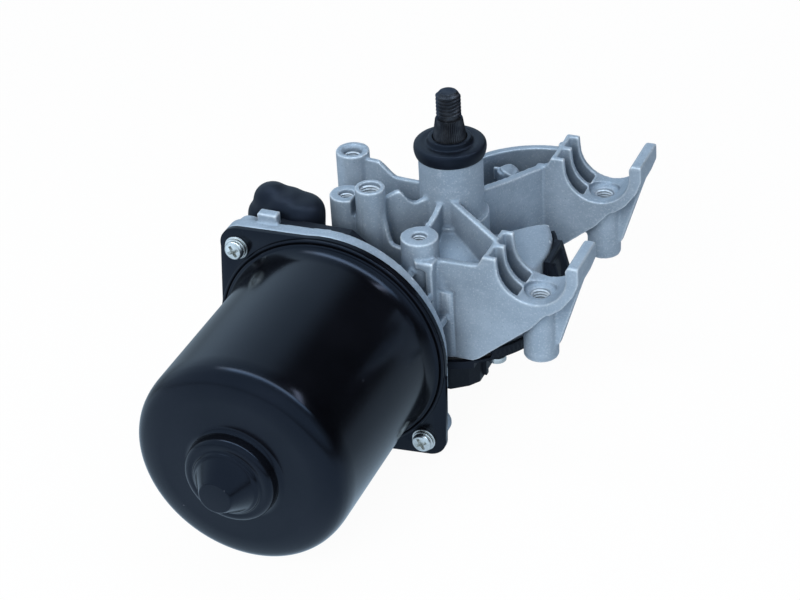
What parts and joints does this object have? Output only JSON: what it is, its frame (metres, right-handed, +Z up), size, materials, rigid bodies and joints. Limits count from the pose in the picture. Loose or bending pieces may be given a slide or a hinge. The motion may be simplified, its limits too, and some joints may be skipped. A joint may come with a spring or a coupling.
{
  "type": "wiper motor",
  "caption": "Windscreen wiper motor with die-cast worm gear housing, black steel can, vertical threaded output spindle and two open cradles that clamp on a linkage tube.",
  "frame": {"origin": "On the output spindle's axis, at the foot of its thread.", "axes": "+Z up along the spindle towards its tip, +Y along the linkage tube from the motor can's end towards the gear housing, +X from the spindle towards the tube cradles."},
  "size_m": [0.1161, 0.1795, 0.1103],
  "materials": {
    "cast_housing": "grainy die-cast skin with rounded bright edges",
    "can_coating": "satin black coating on drawn steel",
    "ferrite": "dull ground ferrite",
    "zinc_steel": "bright zinc plating",
    "sintered_bronze": "porous oil-filled bronze",
    "acetal_white": "moulded acetal",
    "black_plastic": "fine-grained moulded glass-filled plastic",
    "carbon": "copper-graphite brush",
    "spring_steel": "bright spring steel",
    "copper_wire": "enamelled copper wire",
    "breaker_case": "phenolic case",
    "ground_steel": "ground and rolled steel",
    "laminations": "stacked electrical steel",
    "commutator_copper": "turned copper bars",
    "black_steel": "blackened steel spindle",
    "contact_brass": "stamped brass",
    "rubber": "soft black rubber",
    "gasket": "pressed seal",
    "tinned": "tinned brass blades"
  },
  "bodies": {
    "housing": {"gear_housing": "cast_housing", "motor_can": "can_coating", "magnet_left": "ferrite", "magnet_right": "ferrite", "rear_retainer": "zinc_steel", "rear_bush": "sintered_bronze", "thrust_button": "acetal_white", "front_bush": "sintered_bronze", "worm_end_bush": "sintered_bronze", "thrust_screw": "zinc_steel", "brush_plate": "black_plastic", "brush_low": "carbon", "brush_common": "carbon", "brush_high": "carbon", "brush_spring_low": "spring_steel", "brush_spring_common": "spring_steel", "brush_spring_high": "spring_steel", "choke_low": "copper_wire", "choke_high": "copper_wire", "circuit_breaker": "breaker_case", "thrust_washer": "zinc_steel", "tower_bush_upper": "sintered_bronze", "tower_bush_lower": "sintered_bronze", "seal_cap": "rubber", "gear_cover": "black_plastic", "cover_gasket": "gasket", "park_contact_a": "contact_brass", "park_contact_b": "contact_brass", "park_contact_c": "contact_brass", "connector_terminals": "tinned", "cover_screws": "zinc_steel", "can_screws": "zinc_steel", "lead_cover": "black_plastic", "cable_boot": "rubber"},
    "output": {"worm_wheel": "acetal_white", "output_shaft": "black_steel", "contact_disc": "contact_brass", "retaining_ring": "spring_steel"},
    "armature": {"armature_shaft": "ground_steel", "worm": "ground_steel", "armature_core": "laminations", "armature_winding": "copper_wire", "commutator": "commutator_copper"}
  },
  "joints": [
    {"name": "armature_spin", "type": "hinge", "parent": "housing", "child": "armature", "pos_m": [-0.025, 0, -0.0626], "axis": [0, 1, 0], "continuous": true},
    {"name": "output_spin", "type": "hinge", "parent": "housing", "child": "output", "pos_m": [0, 0, -0.0346], "axis": [0, 0, 1], "continuous": true}
  ],
  "couplings": [
    {"joint": "output_spin", "follows": "armature_spin", "ratio": 0.030303}
  ]
}
